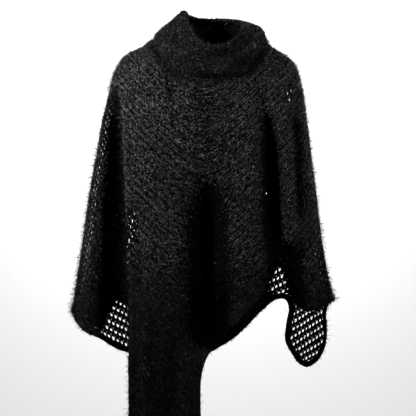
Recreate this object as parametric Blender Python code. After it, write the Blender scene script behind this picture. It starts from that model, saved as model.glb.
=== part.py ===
"""Open-knit poncho with a slouched cowl collar, one long front tail and a solid knitted hem band.

The body is worked out as level rings about a standing figure: each ring has a left and a right
side, a front and a back depth, and soft folds laid over it. The front and the back are cut from
that skin by the neck line and by their own hem lines, and meet at a seam that runs over both
shoulders and down the outside of the arms. The collar is lofted through its own rings from the
neck line up to the rim. Lengths in the tables are millimetres, the wearer faces -Y, +Z is up.
"""
import math

import bpy
import numpy as np
from mathutils import Vector
from mathutils.geometry import delaunay_2d_cdt

MM = 0.001
WALL = 4.0
SEAM_GAP = 0.3
BORDER_WIDTH = 12.0
ROUND_SHARE = 1.12
SQUARENESS = 0.78
HEM_STEP = 16.0
COLUMN_STEP = 12.5
ROW_STEP = 34.0
BACK_COLUMN_STEP = 19.0
BACK_ROW_STEP = 40.0
RING_COLUMNS = 52
COLLAR_ROWS = 15

# Rings of the body, from the neck to below the hem
# height, left side, right side, depth of the side line, front depth, back depth
RINGS = (
    (34, -134, 144, 4, 40, 50),
    (26, -146, 151, 4, 47, 60),
    (19, -161, 163, 4, 54, 68),
    (0, -197, 194, 3, 68, 84),
    (-19, -211, 213, 2, 80, 97),
    (-38, -220, 221, 1, 90, 106),
    (-58, -226, 226, 0, 99, 113),
    (-96, -235, 235, -1, 114, 121),
    (-154, -249, 243, -3, 129, 127),
    (-230, -262, 252, -5, 136, 127),
    (-307, -276, 262, -8, 135, 125),
    (-384, -288, 271, -11, 132, 125),
    (-461, -298, 281, -14, 131, 127),
    (-538, -310, 295, -16, 133, 130),
    (-583, -316, 305, -17, 134, 132),
    (-607, -320, 306, -17, 135, 133),
    (-680, -328, 312, -18, 136, 136),
    (-1040, -345, 330, -20, 142, 150),
)

# Folds: name, x and height at the top, the middle and the lower end, half-width at the top and the
# lower end, how much wider they are on the left than on the right, depth (outward is positive),
# run-out at the top and at the lower end
FRONT_FOLDS = (
    ("left arm hollow", -210, -26, -201, -299, -194, -690, 8, 32, 2.0, -65, 200, 60),
    ("left arm ridge", -242, -60, -264, -299, -280, -690, 15, 20, 1.0, 26, 160, 60),
    ("left breast", -133, -77, -129, -225, -124, -418, 46, 40, 1.0, 7, 90, 160),
    ("left side hem", -165, -302, -161, -428, -154, -630, 18, 22, 1.0, -9, 120, 90),
    ("middle hollow", 6, -225, 4, -418, 10, -726, 42, 44, 1.0, -58, 230, 90),
    ("right breast", 95, -97, 104, -302, 108, -592, 26, 30, 1.0, 15, 90, 110),
    ("right arm hollow", 125, -62, 150, -229, 160, -500, 12, 31, 1.3, -39, 180, 120),
    ("right arm pleat", 175, -60, 191, -243, 195, -465, 17, 20, 1.0, 11, 80, 50),
    ("right arm crease", 200, -95, 214, -229, 220, -430, 12, 16, 1.0, -17, 80, 110),
    ("elbow drop", 186, -440, 188, -516, 190, -689, 40, 50, 1.0, -26, 50, 60),
    ("forearm", 245, -429, 250, -516, 251, -633, 20, 20, 1.0, 8, 60, 60),
    ("neck crease", -98, -37, -88, -73, -72, -137, 8, 10, 1.0, -9, 24, 50),
    ("shoulder crease", -157, 11, -134, -21, -107, -59, 8, 9, 1.0, -9, 20, 30),
    ("tail ridge", -141, -534, -143, -745, -140, -1071, 17, 19, 1.0, 9, 120, 60),
    ("tail hollow", -69, -591, -77, -784, -81, -1072, 22, 26, 1.0, -10, 120, 60),
    ("tail edge", -190, -593, -189, -786, -189, -1074, 16, 16, 1.0, -9, 80, 60),
)
BACK_FOLDS = (
    ("left arm hollow", -206, -60, -222, -320, -232, -780, 20, 36, 1.0, -32, 170, 60),
    ("left shoulder blade", -104, -60, -112, -250, -118, -640, 34, 38, 1.0, 10, 90, 120),
    ("middle hollow", -14, -170, -18, -420, -20, -800, 24, 42, 1.0, -24, 170, 60),
    ("right shoulder blade", 92, -60, 96, -280, 98, -640, 32, 36, 1.0, 12, 90, 120),
    ("right arm hollow", 192, -60, 206, -320, 188, -640, 20, 32, 1.0, -30, 170, 80),
    ("flap pleat", 243, -520, 246, -640, 248, -800, 18, 22, 1.0, 9, 90, 40),
)

# Neck line of the body: left, right, height at the sides, the front and the back
NECK_LEFT, NECK_RIGHT = -134.0, 144.0
NECK_SIDE_Z, NECK_FRONT_Z, NECK_BACK_Z = 34.0, -70.0, 18.0

# Hem lines from the left side seam to the right side seam: x, height
LEFT_CORNER_Z, RIGHT_CORNER_Z = -607.0, -583.0
FRONT_HEM = (
    (-308, -627),
    (-292, -646),
    (-270, -657),
    (-249, -660),
    (-240, -639),
    (-221, -595),
    (-200, -575),
    (-185, -584),
    (-179, -631),
    (-180, -727),
    (-179, -847),
    (-179, -930),
    (-160, -960),
    (-100, -968),
    (-36, -961),
    (-15, -936),
    (-13, -844),
    (-10, -747),
    (7, -701),
    (51, -651),
    (86, -613),
    (130, -564),
    (157, -519),
    (173, -497),
    (187, -516),
    (198, -551),
    (215, -594),
    (242, -606),
    (278, -592),
)
BACK_HEM = (
    (-316, -636),
    (-302, -658),
    (-280, -673),
    (-254, -685),
    (-208, -713),
    (-138, -732),
    (-39, -734),
    (60, -691),
    (133, -621),
    (169, -590),
    (192, -586),
    (203, -609),
    (197, -652),
    (195, -689),
    (211, -722),
    (229, -746),
    (247, -754),
    (264, -745),
    (281, -723),
    (291, -694),
    (293, -653),
    (291, -618),
    (297, -598),
)

# Rings of the collar above the neck line, up to the rim and over it:
# left x, left height, right x, right height, front y, front height, back y, back height
COLLAR_RINGS = (
    (-124, 39, 141, 40, -96, -60, 70, 28),
    (-121, 46, 140, 47, -105, -52, 74, 38),
    (-119, 52, 139, 53, -118, -47, 77, 49),
    (-113, 58, 136, 59, -122, -38, 79, 59),
    (-105, 65, 131, 65, -113, -26, 79, 69),
    (-96, 72, 124, 71, -97, -17, 77, 77),
    (-86, 80, 117, 72, -90, -8, 74, 84),
    (-76, 89, 110, 74, -95, 0, 71, 88),
    (-65, 99, 103, 76, -97, 8, 67, 92),
    (-54, 108, 96, 77, -89, 15, 61, 94),
    (-47, 103, 89, 71, -79, 10, 54, 90),
)


def curve_at(t, knots, values):
    """Smooth curve through a table that never overshoots it; the knots rise."""
    t = np.clip(np.asarray(t, float), knots[0], knots[-1])
    step = np.diff(knots)
    rise = np.diff(values) / step
    slope = np.zeros(len(knots))
    inner = rise[:-1] * rise[1:] > 0
    slope[1:-1][inner] = 2 / (1 / rise[:-1][inner] + 1 / rise[1:][inner])
    slope[0], slope[-1] = rise[0], rise[-1]
    i = np.clip(np.searchsorted(knots, t, side="right") - 1, 0, len(step) - 1)
    u = (t - knots[i]) / step[i]
    return (
        values[i] * (1 + 2 * u) * (1 - u) ** 2
        + slope[i] * step[i] * u * (1 - u) ** 2
        + values[i + 1] * u * u * (3 - 2 * u)
        + slope[i + 1] * step[i] * u * u * (u - 1)
    )


RING_TABLE = np.array(RINGS, float)[::-1]


def ring(z, column):
    """One column of the ring table at the heights z."""
    return curve_at(z, RING_TABLE[:, 0], RING_TABLE[:, column])


def span(z):
    """Middle, half-width and flattened half-length of the ring at the heights z."""
    left, right = ring(z, 1), ring(z, 2)
    half = (right - left) / 2
    return (left + right) / 2, half, half * ROUND_SHARE


def unroll(x, z):
    """Place along the flattened ring of a point seen at x from the front."""
    middle, half, length = span(z)
    return np.arcsin(np.clip((x - middle) / half, -1, 1)) * 2 / math.pi * length


def smooth_step(t):
    t = np.clip(t, 0, 1)
    return t * t * (3 - 2 * t)


def fold_depth(folds, x, z):
    """Sum of the folds at x, z: a bell across its path, run out at both ends."""
    total = np.zeros_like(x)
    for _, x0, z0, x1, z1, x2, z2, wide0, wide1, lean, depth, fade0, fade1 in folds:
        path = curve_at(z, np.array([z2, z1, z0], float), np.array([x2, x1, x0], float))
        share = np.clip((z0 - z) / (z0 - z2), 0, 1)
        wide = (wide0 + (wide1 - wide0) * share) * np.where(x < path, lean, 1 / lean)
        fade = smooth_step((z0 - z) / fade0) * smooth_step((z - z2) / fade1)
        total += depth * np.exp(-(((x - path) / wide) ** 2)) * fade
    return total


def skin(side, q, z):
    """Point of the cloth's middle at q along the flattened ring and height z; side -1 is the front."""
    middle, half, length = span(z)
    a = np.clip(q / length, -1, 1) * math.pi / 2
    x = middle + half * np.sin(a)
    lift = np.clip(np.cos(a), 0, 1)
    lift = np.where(np.abs(q) >= length - 1e-6, 0, lift)
    depth = ring(z, 4 if side < 0 else 5)
    folds = fold_depth(FRONT_FOLDS if side < 0 else BACK_FOLDS, x, z)
    y = ring(z, 3) + side * (depth * lift**SQUARENESS + folds * lift**0.5)
    return np.stack([x, y, z], -1)


def outward(side, q, z):
    """Unit normal of the skin, away from the wearer."""
    length = span(z)[2]
    low, high = np.maximum(q - 1.0, -length), np.minimum(q + 1.0, length)
    across = skin(side, high, z) - skin(side, low, z)
    share = q / length
    up_z, down_z = z + 1.0, z - 1.0
    along = skin(side, share * span(up_z)[2], up_z) - skin(side, share * span(down_z)[2], down_z)
    edge = np.abs(q) >= length - 1e-6
    across[edge] = 0
    across[edge, 1] = -side * np.sign(q[edge])
    n = np.cross(across, along) * -side
    return n / np.linalg.norm(n, axis=1, keepdims=True)


def neck_line(angle):
    """x and height of the neck line; angle 0 is the front, a quarter turn is the right side."""
    x = (NECK_LEFT + NECK_RIGHT) / 2 + (NECK_RIGHT - NECK_LEFT) / 2 * np.sin(angle)
    far = np.where(np.cos(angle) > 0, NECK_FRONT_Z, NECK_BACK_Z)
    return x, NECK_SIDE_Z + (far - NECK_SIDE_Z) * np.abs(np.cos(angle))


def through(points, step=3.0):
    """Dense rounded curve through the points, as a centripetal spline."""
    p = np.vstack([2 * points[0] - points[1], points, 2 * points[-1] - points[-2]])
    out = []
    for i in range(1, len(p) - 2):
        hop = np.linalg.norm(np.diff(p[i - 1:i + 3], axis=0), axis=1) ** 0.5
        t = np.concatenate([[0], np.cumsum(hop)])
        count = max(2, int(np.linalg.norm(p[i + 1] - p[i]) / step) + 1)
        u = np.linspace(t[1], t[2], count, endpoint=False)[:, None]
        a1 = (t[1] - u) / (t[1] - t[0]) * p[i - 1] + (u - t[0]) / (t[1] - t[0]) * p[i]
        a2 = (t[2] - u) / (t[2] - t[1]) * p[i] + (u - t[1]) / (t[2] - t[1]) * p[i + 1]
        a3 = (t[3] - u) / (t[3] - t[2]) * p[i + 1] + (u - t[2]) / (t[3] - t[2]) * p[i + 2]
        b1 = (t[2] - u) / (t[2] - t[0]) * a1 + (u - t[0]) / (t[2] - t[0]) * a2
        b2 = (t[3] - u) / (t[3] - t[1]) * a2 + (u - t[1]) / (t[3] - t[1]) * a3
        out.append((t[2] - u) / (t[2] - t[1]) * b1 + (u - t[1]) / (t[2] - t[1]) * b2)
    out.append(points[-1:])
    return np.vstack(out)


def spaced(line, step, stretch, *others):
    """Points about a step apart along the line, its heights shrunk by stretch, and the same
    shares of the other lines."""
    flat = line * (1, 1 / stretch)
    run = np.concatenate([[0], np.cumsum(np.linalg.norm(np.diff(flat, axis=0), axis=1))])
    at = np.linspace(0, run[-1], max(2, int(round(run[-1] / step)) + 1))
    rows = [np.stack([np.interp(at, run, part[:, k]) for k in (0, 1)], 1) for part in (line, *others)]
    return rows[0] if not others else rows


def hem_lines(table):
    """Dense hem line in the flattened skin and its copies one border further in, gap and all."""
    corners = np.array([LEFT_CORNER_Z, RIGHT_CORNER_Z])
    ends = span(corners)[2] * (-1, 1)
    body = np.array(table, float)
    body = np.stack([unroll(body[:, 0], body[:, 1]), body[:, 1]], 1)
    hem = through(np.vstack([(ends[0], corners[0]), body, (ends[1], corners[1])]))
    tangent = np.gradient(hem, axis=0)
    tangent /= np.linalg.norm(tangent, axis=1, keepdims=True)
    inward = np.stack([-tangent[:, 1], tangent[:, 0]], 1)
    wide = BORDER_WIDTH + SEAM_GAP
    inner = hem + inward * wide
    clear = np.array([np.linalg.norm(hem - p, axis=1).min() for p in inner]) > wide * 0.995
    clear &= np.abs(inner[:, 0]) < span(inner[:, 1])[2] - 4
    rows = []
    for offset in (BORDER_WIDTH, wide):
        line = (hem + inward * offset)[clear]
        z = corners + offset
        edge = span(z)[2] * (-1, 1)
        rows.append(np.vstack([(edge[0], z[0]), line, (edge[1], z[1])]))
    return hem, rows[0], rows[1]


def columns(step):
    """Shares of the half-ring where the columns of points stand, closer together at the arms."""
    share = np.linspace(-1, 1, 801)
    crowd = 1 + 0.9 * np.exp(-(((share - 0.55) / 0.17) ** 2))
    crowd += 1.5 * np.exp(-(((share + 0.56) / 0.2) ** 2))
    run = np.concatenate([[0], np.cumsum((crowd[1:] + crowd[:-1]) / 2)])
    count = int(round(2 * 345 / step))
    return np.interp(np.linspace(0, run[-1], count + 1)[1:-1], run, share)


def triangles(outline, step, stretch, filled=True):
    """Fills a closed outline with triangles, on points that fan out with the rings."""
    loop = outline * (1, 1 / stretch)
    inside = np.zeros((0, 2))
    if filled:
        low, high = outline.min(0), outline.max(0)
        rows = int(round((high[1] - low[1]) / (step * stretch)))
        z = np.linspace(low[1], high[1], rows + 1)[1:-1]
        share, z = np.meshgrid(columns(step), z)
        inside = np.stack([share * span(z)[2], z / stretch], -1).reshape(-1, 2)
    a, b = loop, np.roll(loop, -1, axis=0)
    rise = np.where(b[:, 1] == a[:, 1], 1, b[:, 1] - a[:, 1])
    keep = []
    for p in inside:
        near = np.clip(((p - a) * (b - a)).sum(1) / ((b - a) ** 2).sum(1), 0, 1)
        gap = np.linalg.norm(a + (b - a) * near[:, None] - p, axis=1).min()
        level = (a[:, 1] > p[1]) != (b[:, 1] > p[1])
        left_of = p[0] < (b[:, 0] - a[:, 0]) * (p[1] - a[:, 1]) / rise + a[:, 0]
        keep.append(gap > step * 0.42 and (level & left_of).sum() % 2 == 1)
    points = np.vstack([loop, inside[np.array(keep, bool)]])
    n = len(loop)
    edges = [(i, (i + 1) % n) for i in range(n)]
    flat, _, faces, _, _, _ = delaunay_2d_cdt([Vector(p) for p in points], edges, [], 1, 1e-6)
    return np.array([tuple(p) for p in flat]) * (1, stretch), [tuple(f) for f in faces]


def new_object(name, points, faces, colour, rough):
    mesh = bpy.data.meshes.new(name)
    mesh.from_pydata([tuple(p) for p in np.asarray(points) * MM], [], faces)
    mesh.validate()
    mesh.shade_smooth()
    mesh.set_sharp_from_angle(angle=math.radians(50))
    item = bpy.data.objects.new(name, mesh)
    bpy.context.scene.collection.objects.link(item)
    material = bpy.data.materials.new(name + "_yarn")
    material.use_nodes = True
    shader = material.node_tree.nodes["Principled BSDF"]
    shader.inputs["Base Color"].default_value = (*colour, 1)
    shader.inputs["Roughness"].default_value = rough
    mesh.materials.append(material)
    return item


def thick(middle, normal, faces):
    """Closed wall about a middle surface: the outer face, the inner face and the rim between.
    Both sides of a seam split their rims the same way, so that twisted ones stay clear."""
    n = len(middle)
    points = np.vstack([middle + normal * WALL / 2, middle - normal * WALL / 2])
    order = middle @ np.array([1.0, 0.31, 0.57])
    used = set()
    for face in faces:
        for a, b in zip(face, face[1:] + face[:1]):
            used.add((a, b))
    rim = []
    for a, b in used:
        if (b, a) in used:
            continue
        if order[a] < order[b]:
            rim += [(b, a, b + n), (a, a + n, b + n)]
        else:
            rim += [(b, a, a + n), (b, a + n, b + n)]
    inner = [tuple(i + n for i in reversed(face)) for face in faces]
    return points, list(faces) + inner + rim


def cloth(name, side, outline, step, stretch, colour, filled=True):
    """One flat-cut piece of the body, laid on the skin and given its wall."""
    flat, faces = triangles(outline, step, stretch, filled)
    q, z = flat[:, 0], flat[:, 1]
    middle = skin(side, q, z)
    normal = outward(side, q, z)
    edge = np.abs(q) >= span(z)[2] - 1e-3
    middle[edge, 1] = ring(z[edge], 3) + side * SEAM_GAP / 2
    normal[edge, 1] = 0
    normal[edge] /= np.linalg.norm(normal[edge], axis=1, keepdims=True)
    if side > 0:
        faces = [tuple(reversed(f)) for f in faces]
    points, faces = thick(middle, normal, faces)
    return new_object(name, points, faces, colour, 0.95)


def seam_line(sign, low, step, stretch):
    """Points up the side seam from the height low to the neck line."""
    z = np.linspace(low, NECK_SIDE_Z, 200)
    line = np.stack([sign * span(z)[2], z], 1)
    line = spaced(line, step, stretch)
    line[:, 0] = sign * span(line[:, 1])[2]
    return line


def body_half(word, side, hem_table, step, row_step, panel_colour, border_colour):
    """The panel of one side and the border along its hem."""
    hem, inner, cut = hem_lines(hem_table)
    hem = spaced(hem, HEM_STEP, 1.4)
    inner, cut = spaced(inner, HEM_STEP, 1.4, cut)
    band = np.vstack([hem, inner[::-1]])
    cloth(word + "_hem_border", side, band, HEM_STEP, 1.0, border_colour, filled=False)
    angle = np.linspace(90, -90, RING_COLUMNS // 2 + 1) * math.pi / 180
    x, z = neck_line(angle if side < 0 else math.pi - angle)
    neck = np.stack([unroll(x, z), z], 1)
    right = seam_line(1, cut[-1, 1], ROW_STEP, 1.0)
    left = seam_line(-1, cut[0, 1], ROW_STEP, 1.0)[::-1]
    neck[0], neck[-1] = right[-1], left[0]
    outline = np.vstack([cut, right[1:], neck[1:], left[1:-1]])
    cloth(word + "_panel", side, outline, step, row_step / step, panel_colour)


def collar(colour):
    """Tube from the neck line up through the collar's rings, its lower edge a seam's gap away."""
    angle = np.arange(RING_COLUMNS) * 2 * math.pi / RING_COLUMNS
    front = np.cos(angle) > 1e-9
    x, z = neck_line(angle)
    base = np.where(
        front[:, None],
        skin(-1, unroll(x, z), z),
        skin(1, unroll(x, z), z),
    )
    first = np.where(
        front[:, None],
        outward(-1, unroll(x, z), z),
        outward(1, unroll(x, z), z),
    )
    run = np.roll(base, -1, axis=0) - np.roll(base, 1, axis=0)
    up = np.cross(first, run)
    up *= np.sign(up[:, 2:3])
    base = base + up / np.linalg.norm(up, axis=1, keepdims=True) * SEAM_GAP
    rows = [base]
    table = np.array(COLLAR_RINGS, float)
    swing = np.sin(angle)
    reach = np.cos(angle)
    for left, left_z, right, right_z, fore, fore_z, aft, aft_z in table:
        px = (left + right) / 2 + (right - left) / 2 * swing
        side_z = left_z + (right_z - left_z) * (1 + swing) / 2
        far = np.where(reach > 0, fore, aft)
        far_z = np.where(reach > 0, fore_z, aft_z)
        py = 4 + (far - 4) * np.abs(reach)
        pz = side_z + (far_z - side_z) * np.abs(reach) ** 1.15
        rows.append(np.stack([px, py, pz], 1))
    rows = np.array(rows)
    knots = np.arange(len(rows), dtype=float)
    at = np.linspace(0, len(rows) - 1, COLLAR_ROWS)
    flat = rows.reshape(len(rows), -1)
    grid = np.stack([curve_at(at, knots, flat[:, k]) for k in range(flat.shape[1])], 1)
    grid = grid.reshape(COLLAR_ROWS, RING_COLUMNS, 3)
    across = np.roll(grid, -1, axis=1) - np.roll(grid, 1, axis=1)
    along = np.gradient(grid, axis=0)
    normal = np.cross(across, along)
    normal /= np.linalg.norm(normal, axis=2, keepdims=True)
    normal[0] = first
    faces = []
    for r in range(COLLAR_ROWS - 1):
        low, high = r * RING_COLUMNS, (r + 1) * RING_COLUMNS
        for c in range(RING_COLUMNS):
            d = (c + 1) % RING_COLUMNS
            faces.append((low + c, low + d, high + d, high + c))
    points, faces = thick(grid.reshape(-1, 3), normal.reshape(-1, 3), faces)
    return new_object("cowl_collar", points, faces, colour, 0.95)


for old in list(bpy.data.objects):
    bpy.data.objects.remove(old, do_unlink=True)

YARN = (0.020, 0.020, 0.021)
YARN_BORDER = (0.014, 0.014, 0.015)

body_half("front", -1, FRONT_HEM, COLUMN_STEP, ROW_STEP, YARN, YARN_BORDER)
body_half("back", 1, BACK_HEM, BACK_COLUMN_STEP, BACK_ROW_STEP, YARN, YARN_BORDER)
collar(YARN)
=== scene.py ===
"""Shaggy open-mesh knit poncho with a slouched cowl collar, in black eyelash yarn, as an add-on.

The body is the same folded skin as the solids' (level rings, folds laid over them, hem lines), here
cut into a knitted mesh with real holes. Bands of plain knitting edge the hems, the collar is a tube
of close knitting, and the yarn's pile is laid over all of it as tufts and fine hairs. All lengths
of the poncho are in millimetres until its meshes are made, which are in metres.
"""

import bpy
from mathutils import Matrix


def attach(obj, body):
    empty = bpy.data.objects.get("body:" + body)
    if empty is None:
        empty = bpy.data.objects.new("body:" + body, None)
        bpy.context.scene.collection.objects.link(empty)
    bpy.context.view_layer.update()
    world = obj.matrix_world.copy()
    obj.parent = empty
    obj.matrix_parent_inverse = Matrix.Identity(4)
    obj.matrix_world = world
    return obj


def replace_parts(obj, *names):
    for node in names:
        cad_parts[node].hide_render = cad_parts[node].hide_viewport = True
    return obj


bl_info = {
    "name": "Shaggy Mesh Poncho",
    "version": (1, 0, 0),
    "blender": (4, 5, 0),
    "location": "View3D > Sidebar > Poncho",
    "description": "Builds an open-mesh knit poncho with its collar, hem bands and pile",
    "category": "Add Mesh",
}

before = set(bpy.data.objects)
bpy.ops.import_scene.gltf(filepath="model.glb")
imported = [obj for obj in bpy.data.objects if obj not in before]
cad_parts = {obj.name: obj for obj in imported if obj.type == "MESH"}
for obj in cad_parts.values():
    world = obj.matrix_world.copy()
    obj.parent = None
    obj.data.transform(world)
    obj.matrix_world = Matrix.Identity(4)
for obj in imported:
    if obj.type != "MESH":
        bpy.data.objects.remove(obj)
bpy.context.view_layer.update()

import math

import bpy
import numpy as np
from mathutils import Vector

MM = 0.001

# A full turn in radians, to two decimals
TURN = 6.28

# Flattened half-length of a ring and length of its half arc, both over its half-width, and the
# power of the cosine in its depth
ROUND_SHARE = 1.12
ARC_SHARE = 1.16
SQUARENESS = 0.78

# Rings of the body: height, left side, right side, side line, front depth, back depth
RINGS = (
    (34, -134, 144, 4, 40, 50),
    (26, -146, 151, 4, 47, 60),
    (19, -161, 163, 4, 54, 68),
    (0, -197, 194, 3, 68, 84),
    (-19, -211, 213, 2, 80, 97),
    (-38, -220, 221, 1, 90, 106),
    (-58, -226, 226, 0, 99, 113),
    (-96, -235, 235, -1, 114, 121),
    (-154, -249, 243, -3, 129, 127),
    (-230, -262, 252, -5, 136, 127),
    (-307, -276, 262, -8, 135, 125),
    (-384, -288, 271, -11, 132, 125),
    (-461, -298, 281, -14, 131, 127),
    (-538, -310, 295, -16, 133, 130),
    (-583, -316, 305, -17, 134, 132),
    (-607, -320, 306, -17, 135, 133),
    (-680, -328, 312, -18, 136, 136),
    (-1040, -345, 330, -20, 142, 150),
)

# Folds: x and height at the top, the middle and the lower end, half-width at the top and the lower
# end, how much wider they are on the left than on the right, depth, run-outs
FRONT_FOLDS = (
    ("left arm hollow", -210, -26, -201, -299, -194, -690, 8, 32, 2.0, -65, 200, 60),
    ("left arm ridge", -242, -60, -264, -299, -280, -690, 15, 20, 1.0, 26, 160, 60),
    ("left breast", -133, -77, -129, -225, -124, -418, 46, 40, 1.0, 7, 90, 160),
    ("left side hem", -165, -302, -161, -428, -154, -630, 18, 22, 1.0, -9, 120, 90),
    ("middle hollow", 6, -225, 4, -418, 10, -726, 42, 44, 1.0, -58, 230, 90),
    ("right breast", 95, -97, 104, -302, 108, -592, 26, 30, 1.0, 15, 90, 110),
    ("right arm hollow", 125, -62, 150, -229, 160, -500, 12, 31, 1.3, -39, 180, 120),
    ("right arm pleat", 175, -60, 191, -243, 195, -465, 17, 20, 1.0, 11, 80, 50),
    ("right arm crease", 200, -95, 214, -229, 220, -430, 12, 16, 1.0, -17, 80, 110),
    ("elbow drop", 186, -440, 188, -516, 190, -689, 40, 50, 1.0, -26, 50, 60),
    ("forearm", 245, -429, 250, -516, 251, -633, 20, 20, 1.0, 8, 60, 60),
    ("neck crease", -98, -37, -88, -73, -72, -137, 8, 10, 1.0, -9, 24, 50),
    ("shoulder crease", -157, 11, -134, -21, -107, -59, 8, 9, 1.0, -9, 20, 30),
    ("tail ridge", -141, -534, -143, -745, -140, -1071, 17, 19, 1.0, 9, 120, 60),
    ("tail hollow", -69, -591, -77, -784, -81, -1072, 22, 26, 1.0, -10, 120, 60),
    ("tail edge", -190, -593, -189, -786, -189, -1074, 16, 16, 1.0, -9, 80, 60),
)
BACK_FOLDS = (
    ("left arm hollow", -206, -60, -222, -320, -232, -780, 20, 36, 1.0, -32, 170, 60),
    ("left shoulder blade", -104, -60, -112, -250, -118, -640, 34, 38, 1.0, 10, 90, 120),
    ("middle hollow", -14, -170, -18, -420, -20, -800, 24, 42, 1.0, -24, 170, 60),
    ("right shoulder blade", 92, -60, 96, -280, 98, -640, 32, 36, 1.0, 12, 90, 120),
    ("right arm hollow", 192, -60, 206, -320, 188, -640, 20, 32, 1.0, -30, 170, 80),
    ("flap pleat", 243, -520, 246, -640, 248, -800, 18, 22, 1.0, 9, 90, 40),
)

NECK_LEFT, NECK_RIGHT = -134.0, 144.0
NECK_SIDE_Z, NECK_FRONT_Z, NECK_BACK_Z = 34.0, -70.0, 18.0

# Hem lines from the left side seam to the right one: x, height
LEFT_CORNER_Z, RIGHT_CORNER_Z = -607.0, -583.0
FRONT_HEM = (
    (-308, -627), (-292, -646), (-270, -657), (-249, -660), (-240, -639), (-221, -595),
    (-200, -575), (-185, -584), (-179, -631), (-180, -727), (-179, -847), (-179, -930),
    (-160, -960), (-100, -968), (-36, -961), (-15, -936), (-13, -844), (-10, -747),
    (7, -701), (51, -651), (86, -613), (130, -564), (157, -519), (173, -497),
    (187, -516), (198, -551), (215, -594), (242, -606), (278, -592),
)
BACK_HEM = (
    (-316, -636), (-302, -658), (-280, -673), (-254, -685), (-208, -713), (-138, -732),
    (-39, -734), (60, -691), (133, -621), (169, -590), (192, -586), (203, -609),
    (197, -652), (195, -689), (211, -722), (229, -746), (247, -754), (264, -745),
    (281, -723), (291, -694), (293, -653), (291, -618), (297, -598),
)

# Rings of the collar: left x and height, right x and height, front y and height, back y and height
COLLAR_RINGS = (
    (-124, 39, 141, 40, -96, -60, 70, 28),
    (-121, 46, 140, 47, -105, -52, 74, 38),
    (-119, 52, 139, 53, -118, -47, 77, 49),
    (-113, 58, 136, 59, -122, -38, 79, 59),
    (-105, 65, 131, 65, -113, -26, 79, 69),
    (-96, 72, 124, 71, -97, -17, 77, 77),
    (-86, 80, 117, 72, -90, -8, 74, 84),
    (-76, 89, 110, 74, -95, 0, 71, 88),
    (-65, 99, 103, 76, -97, 8, 67, 92),
    (-54, 108, 96, 77, -89, 15, 61, 94),
    (-47, 103, 89, 71, -79, 10, 54, 90),
)

# How far the collar's foot reaches below the neck line, and how far under the body's cloth it lies
FOOT, FOOT_DEPTH = 9.0, 5.0

# y of the collar's sides, and the power of the cosine in its dip to the front and the back
COLLAR_SIDE_Y, COLLAR_DIP = 4, 1.15

# The collar's ribs, their height, rows and columns, and its thickness in metres
RIB, RIB_ROWS, RIB_COLUMNS = 0.5, 4, 6
COLLAR_THICK = 0.003

# Points down a seam and along the neck line, and points tested at a time
SEAM_POINTS = 60
BATCH = 20000


def curve_at(t, knots, values):
    """Cubic Hermite curve through a rising table; each slope is the harmonic mean of two chords."""
    t = np.clip(np.asarray(t, float), knots[0], knots[-1])
    step = np.diff(knots)
    rise = np.diff(values) / step
    slope = np.zeros(len(knots))
    inner = rise[:-1] * rise[1:] > 0
    slope[1:-1][inner] = 2 / (1 / rise[:-1][inner] + 1 / rise[1:][inner])
    slope[0], slope[-1] = rise[0], rise[-1]
    i = np.clip(np.searchsorted(knots, t, side="right") - 1, 0, len(step) - 1)
    u = (t - knots[i]) / step[i]
    return (
        values[i] * (1 + 2 * u) * (1 - u) ** 2
        + slope[i] * step[i] * u * (1 - u) ** 2
        + values[i + 1] * u * u * (3 - 2 * u)
        + slope[i + 1] * step[i] * u * u * (u - 1)
    )


RING_TABLE = np.array(RINGS, float)[::-1]

# Distance from a seam within which the cloth faces straight to the side
SEAM_EDGE = 1.2


def ring(z, column):
    """One column of the ring table at the heights z."""
    return curve_at(z, RING_TABLE[:, 0], RING_TABLE[:, column])


def span(z):
    """Middle, half-width and flattened half-length of the ring at the heights z."""
    left, right = ring(z, 1), ring(z, 2)
    half = (right - left) / 2
    return (left + right) / 2, half, half * ROUND_SHARE


def unroll(x, z):
    """Flattened place q of a point seen at x: the arc sine of x over the half-width, a length."""
    middle, half, length = span(z)
    return np.arcsin(np.clip((x - middle) / half, -1, 1)) * 2 / math.pi * length


def smooth_step(t):
    """3t² − 2t³ between 0 and 1."""
    t = np.clip(t, 0, 1)
    return t * t * (3 - 2 * t)


def ramp(value, start, over):
    """0 up to the start, 1 from start + over on, and a smooth step between."""
    return smooth_step((value - start) / over)


def fold_depth(folds, x, z):
    """Sum of bells exp(−(distance from the fold's path / half-width)²), run out at both ends."""
    total = np.zeros_like(x)
    for _, x0, z0, x1, z1, x2, z2, wide0, wide1, lean, depth, fade0, fade1 in folds:
        path = curve_at(z, np.array([z2, z1, z0], float), np.array([x2, x1, x0], float))
        share = np.clip((z0 - z) / (z0 - z2), 0, 1)
        wide = (wide0 + (wide1 - wide0) * share) * np.where(x < path, lean, 1 / lean)
        fade = smooth_step((z0 - z) / fade0) * smooth_step((z - z2) / fade1)
        total += depth * np.exp(-(((x - path) / wide) ** 2)) * fade
    return total


def skin(side, q, z):
    """Middle of the cloth at q and z: x is the ring's middle plus the half-width times the angle's
    sine, y the side line plus the depth times its cosine to the power 0.78, plus the folds, which
    run out at the seams with the root of the cosine."""
    middle, half, length = span(z)
    a = np.clip(q / length, -1, 1) * math.pi / 2
    x = middle + half * np.sin(a)
    lift = np.clip(np.cos(a), 0, 1)
    folds = fold_depth(FRONT_FOLDS if side < 0 else BACK_FOLDS, x, z)
    y = ring(z, 3) + side * (ring(z, 4 if side < 0 else 5) * lift**SQUARENESS + folds * lift**0.5)
    return np.stack([x, y, z], -1)


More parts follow.
